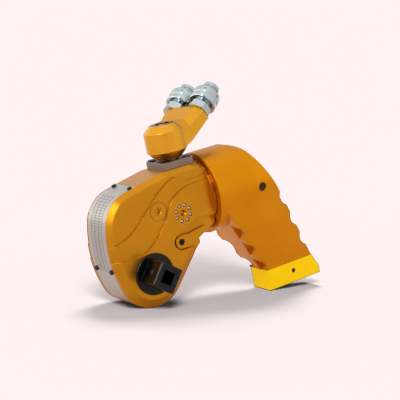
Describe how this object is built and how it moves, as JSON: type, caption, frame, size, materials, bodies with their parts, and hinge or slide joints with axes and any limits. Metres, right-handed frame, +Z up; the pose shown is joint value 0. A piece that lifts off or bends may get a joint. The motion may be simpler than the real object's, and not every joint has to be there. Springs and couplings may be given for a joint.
{
  "type": "hydraulic torque wrench",
  "caption": "Hydraulic torque wrench with a square drive, swivelling twin couplers, ratchet and piston mechanism, and a splined reaction arm with finger grips.",
  "frame": {"origin": "on the square drive's axis, on the shoulder at the front of its flange", "axes": "-Y along the square drive, +X towards the reaction arm, +Z up as the tool stands"},
  "size_m": [0.2641, 0.1082, 0.2235],
  "materials": {
    "gold": "satin gold anodised or lacquered alloy",
    "yellow": "bright yellow",
    "black": "black oxide",
    "steel": "ground steel",
    "plate": "brushed plate",
    "zinc": "bright zinc plating",
    "bronze": "bearing bronze",
    "seal": "nitrile",
    "spring": "spring wire"
  },
  "bodies": {
    "head": {"housing": "gold", "nameplate": "plate", "nameplate_screws": "black", "front_bushing": "bronze", "rear_bushing": "bronze", "side_plug": "gold", "ring_pins": "steel", "end_gland": "black", "gland_seal": "seal", "swivel_plate": "steel", "plate_screws": "black", "swivel_post": "steel", "reaction_pawl_spring": "spring"},
    "piston": {"piston": "steel", "piston_seal": "seal", "piston_rod": "steel"},
    "cranks": {"crank_plate_front": "steel", "crank_plate_rear": "steel", "rod_pin": "steel", "pawl_pin": "steel", "spring_stop": "steel", "drive_pawl": "steel", "pawl_springs": "spring"},
    "drive": {"square_drive": "black", "ratchet_wheel": "steel", "detent_spring": "spring", "drive_retainer": "black", "retainer_spring": "spring"},
    "detent": {"detent_pin": "black"},
    "button": {"retainer_button": "steel"},
    "lever": {"release_lever": "gold", "lever_screw": "black", "reaction_pawl": "steel"},
    "swivel": {"swivel_block": "gold", "post_cap": "steel", "coupler_adapter_near": "zinc", "coupler_body_near": "zinc", "coupler_adapter_far": "zinc", "coupler_body_far": "zinc"},
    "collar_near": {"coupler_collar_near": "zinc"},
    "collar_far": {"coupler_collar_far": "zinc"},
    "poppet_near": {"coupler_poppet_near": "zinc"},
    "poppet_far": {"coupler_poppet_far": "zinc"},
    "arm": {"reaction_arm": "gold", "foot_boot": "yellow", "boot_screw": "black", "arm_lock_screw": "black"}
  },
  "joints": [
    {"name": "piston_slide", "type": "slide", "parent": "head", "child": "piston", "axis": [-0.9769, 0, -0.2135], "range_m": [0, 0.0245]},
    {"name": "crank_swing", "type": "hinge", "parent": "head", "child": "cranks", "pos_m": [0, 0.0322, 0], "axis": [0, -1, 0], "range_deg": [0, 24.3]},
    {"name": "drive_turn", "type": "hinge", "parent": "head", "child": "drive", "pos_m": [0, 0.0322, 0], "axis": [0, -1, 0], "continuous": true},
    {"name": "detent_press", "type": "slide", "parent": "drive", "child": "detent", "axis": [0.8983, 0, -0.4395], "range_m": [0, 0.0014], "stiffness_N_per_m": 2500, "springref_m": -0.001, "deforming": ["detent_spring"]},
    {"name": "button_press", "type": "slide", "parent": "drive", "child": "button", "axis": [0, -1, 0], "range_m": [0, 0.0028], "stiffness_N_per_m": 1500, "springref_m": -0.002, "deforming": ["retainer_spring"]},
    {"name": "lever_swing", "type": "hinge", "parent": "head", "child": "lever", "pos_m": [0.03139, 0.0322, 0.02918], "axis": [0, -1, 0], "range_deg": [-9, 0], "stiffness_Nm_per_rad": 0.4, "springref_deg": 2.86, "deforming": ["reaction_pawl_spring"]},
    {"name": "swivel_turn", "type": "hinge", "parent": "head", "child": "swivel", "pos_m": [0.03249, 0.0322, 0.1197], "axis": [-0.2135, 0, 0.9769], "continuous": true},
    {"name": "collar_near_pull", "type": "slide", "parent": "swivel", "child": "collar_near", "axis": [-0.6743, -0.3234, -0.6638], "range_m": [0, 0.0028], "stiffness_N_per_m": 1500, "springref_m": -0.002},
    {"name": "poppet_near_press", "type": "slide", "parent": "swivel", "child": "poppet_near", "axis": [-0.6743, -0.3234, -0.6638], "range_m": [0, 0.003], "stiffness_N_per_m": 1500, "springref_m": -0.002},
    {"name": "collar_far_pull", "type": "slide", "parent": "swivel", "child": "collar_far", "axis": [-0.6743, -0.3234, -0.6638], "range_m": [0, 0.0028], "stiffness_N_per_m": 1500, "springref_m": -0.002},
    {"name": "poppet_far_press", "type": "slide", "parent": "swivel", "child": "poppet_far", "axis": [-0.6743, -0.3234, -0.6638], "range_m": [0, 0.003], "stiffness_N_per_m": 1500, "springref_m": -0.002},
    {"name": "arm_slide", "type": "slide", "parent": "head", "child": "arm", "axis": [0.9769, 0, 0.2135], "range_m": [0, 0.046]}
  ],
  "couplings": [
    {"joint": "crank_swing", "follows": "piston_slide", "rad_per_m": 17.24}
  ]
}
